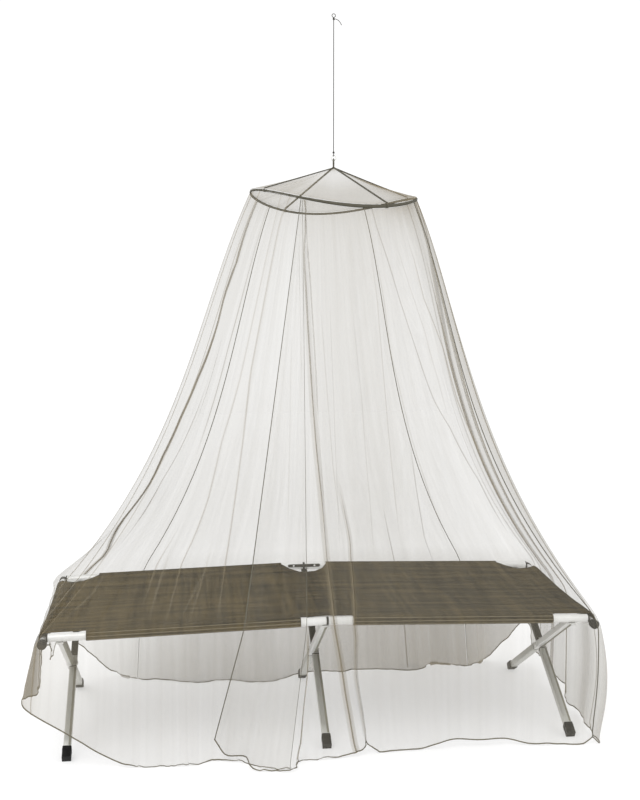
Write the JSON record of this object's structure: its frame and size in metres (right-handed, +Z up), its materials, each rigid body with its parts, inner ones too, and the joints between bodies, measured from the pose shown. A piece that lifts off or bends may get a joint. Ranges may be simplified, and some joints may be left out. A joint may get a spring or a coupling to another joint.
{
  "type": "mosquito net canopy with camp bed",
  "caption": "Hooped conical mosquito net canopy hung on a cord, falling to the floor over a folding camp bed with a cloth deck and crossed legs.",
  "frame": {"origin": "on the floor under the middle of the bed with its net", "axes": "+Z up, +X along the bed towards its right end as seen from the entrance, +Y away from the entrance side"},
  "size_m": [2.023, 1.0223, 2.5573],
  "materials": {
    "net": "fine sheer knitted mesh",
    "olive_tape": "woven binding tape",
    "canvas": "matte woven cloth",
    "aluminium": "satin tube",
    "black_plastic": "matte moulded",
    "rubber": "matte",
    "clear_plastic": "smooth pale ring",
    "cord": "braided cord"
  },
  "bodies": {
    "root": {"apex_loop": "olive_tape", "cord_eye": "cord", "cord_knot_low": "cord", "cord_knot_top": "cord", "cord_tail": "cord", "cord_tie": "cord", "crown_tape_1": "olive_tape", "crown_tape_2": "olive_tape", "deck_canvas": "canvas", "end_bar_left": "aluminium", "end_bar_right": "aluminium", "end_cap_back_left": "black_plastic", "end_cap_back_right": "black_plastic", "end_cap_front_left": "black_plastic", "end_cap_front_right": "black_plastic", "foot_back_left": "rubber", "foot_back_middle": "rubber", "foot_back_right": "rubber", "foot_front_left": "rubber", "foot_front_middle": "rubber", "foot_front_right": "rubber", "hanging_cord": "cord", "hanging_ring": "clear_plastic", "hinge_plate_back": "aluminium", "hinge_plate_front": "aluminium", "hoop": "olive_tape", "leg_back_left": "aluminium", "leg_back_middle": "aluminium", "leg_back_right": "aluminium", "leg_front_left": "aluminium", "leg_front_middle": "aluminium", "leg_front_right": "aluminium", "net_crown": "net", "net_wall_back": "net", "net_wall_front": "net", "net_wall_left": "net", "net_wall_right": "net", "pivot_left": "aluminium", "pivot_middle": "aluminium", "pivot_right": "aluminium", "rail_back_left": "aluminium", "rail_back_right": "aluminium", "rail_front_left": "aluminium", "rail_front_right": "aluminium", "rail_joint_back": "black_plastic", "rail_joint_front": "black_plastic", "rail_plug_back_left": "black_plastic", "rail_plug_back_right": "black_plastic", "rail_plug_front_left": "black_plastic", "rail_plug_front_right": "black_plastic"}
  },
  "joints": []
}
